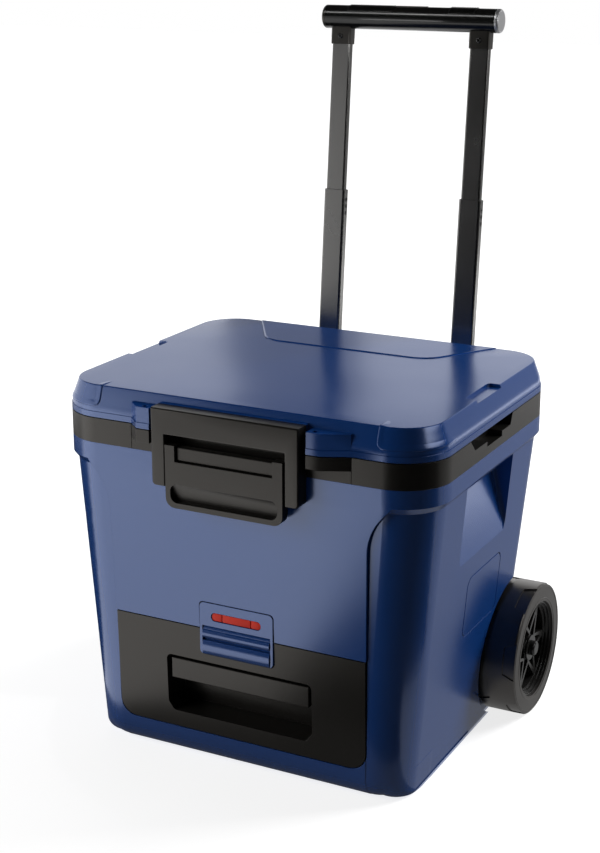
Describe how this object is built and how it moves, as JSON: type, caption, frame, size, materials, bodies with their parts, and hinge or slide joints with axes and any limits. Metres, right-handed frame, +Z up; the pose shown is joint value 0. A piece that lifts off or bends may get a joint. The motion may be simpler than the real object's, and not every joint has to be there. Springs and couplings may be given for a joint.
{
  "type": "cooler on wheels",
  "caption": "Blue insulated hard cooler with a hinged lid and front latch, a dry-goods drawer below, rear wheels and a telescopic pull handle.",
  "frame": {"origin": "on the floor, at the middle of the rim band's footprint, in the plane of the flat base", "axes": "+X to the right seen from the front, +Y to the back where the handle is, +Z up"},
  "size_m": [0.53, 0.5351, 0.8968],
  "materials": {
    "body_blue": "satin moulded plastic",
    "black_plastic": "fine-grained black plastic",
    "runner_plastic": "smooth",
    "liner_grey": "smooth moulded liner",
    "foam": "closed-cell foam",
    "signal_red": "gloss",
    "seal_rubber": "matt",
    "post_metal": "dark satin coat",
    "steel": "brushed",
    "nut_black": "gloss",
    "cap_silver": "fine satin",
    "tyre_rubber": "matt moulded tread",
    "hub_black": "satin"
  },
  "bodies": {
    "root": {"body_shell": "body_blue", "foam_core": "foam", "inner_tub": "liner_grey", "rim_band": "black_plastic", "rim_front": "black_plastic", "hinge_pins": "steel", "drawer_runner_left": "runner_plastic", "drawer_runner_right": "runner_plastic", "wheel_axle": "steel", "axle_spacer_left": "runner_plastic", "axle_spacer_right": "runner_plastic", "axle_nut_left": "nut_black", "axle_nut_right": "nut_black", "handle_carrier_top": "black_plastic", "handle_carrier_bottom": "black_plastic", "handle_sleeve_left": "post_metal", "handle_sleeve_right": "post_metal"},
    "lid": {"lid_shell": "body_blue", "lid_foam": "foam", "lid_liner": "liner_grey", "lid_gasket": "seal_rubber", "latch_frame": "black_plastic"},
    "latch": {"latch_lever": "black_plastic", "latch_bar": "black_plastic"},
    "drawer": {"drawer_front": "black_plastic", "drawer_pull": "black_plastic", "drawer_tray": "black_plastic", "catch_plate": "body_blue", "red_indicator": "signal_red", "catch_pin": "steel"},
    "drawer_catch": {"catch_lever": "body_blue"},
    "handle_lower": {"lower_post_left": "post_metal", "lower_post_right": "post_metal"},
    "handle_upper": {"upper_post_left": "post_metal", "upper_post_right": "post_metal", "grip_bracket_left": "black_plastic", "grip_bracket_right": "black_plastic", "grip_tube": "black_plastic", "grip_cap_left": "black_plastic", "grip_cap_right": "cap_silver"},
    "handle_button": {"release_button": "black_plastic"},
    "wheel_left": {"tyre_left": "tyre_rubber", "wheel_hub_left": "hub_black"},
    "wheel_right": {"tyre_right": "tyre_rubber", "wheel_hub_right": "hub_black"}
  },
  "joints": [
    {"name": "lid_hinge", "type": "hinge", "parent": "root", "child": "lid", "pos_m": [0, 0.204, 0.434], "axis": [-1, 0, 0], "range_deg": [0, 90]},
    {"name": "latch_lever_hinge", "type": "hinge", "parent": "lid", "child": "latch", "pos_m": [0, -0.214, 0.411], "axis": [-1, 0, 0], "range_deg": [0, 80]},
    {"name": "drawer_slide", "type": "slide", "parent": "root", "child": "drawer", "axis": [0, -1, 0], "range_m": [0, 0.22]},
    {"name": "drawer_catch_hinge", "type": "hinge", "parent": "drawer", "child": "drawer_catch", "pos_m": [0, -0.19313, 0.185], "axis": [-1, 0, 0], "range_deg": [0, 25], "stiffness_Nm_per_rad": 0.4},
    {"name": "handle_lower_slide", "type": "slide", "parent": "root", "child": "handle_lower", "axis": [0, 0.0857, 0.9963], "range_m": [-0.213, 0]},
    {"name": "handle_upper_slide", "type": "slide", "parent": "handle_lower", "child": "handle_upper", "axis": [0, 0.0857, 0.9963], "range_m": [-0.195, 0]},
    {"name": "handle_button_press", "type": "slide", "parent": "handle_upper", "child": "handle_button", "axis": [0, -0.0857, -0.9963], "range_m": [0, 0.0035], "stiffness_N_per_m": 600},
    {"name": "wheel_left_spin", "type": "hinge", "parent": "root", "child": "wheel_left", "pos_m": [-0.239, 0.137, 0.0875], "axis": [1, 0, 0], "continuous": true},
    {"name": "wheel_right_spin", "type": "hinge", "parent": "root", "child": "wheel_right", "pos_m": [0.239, 0.137, 0.0875], "axis": [1, 0, 0], "continuous": true}
  ]
}
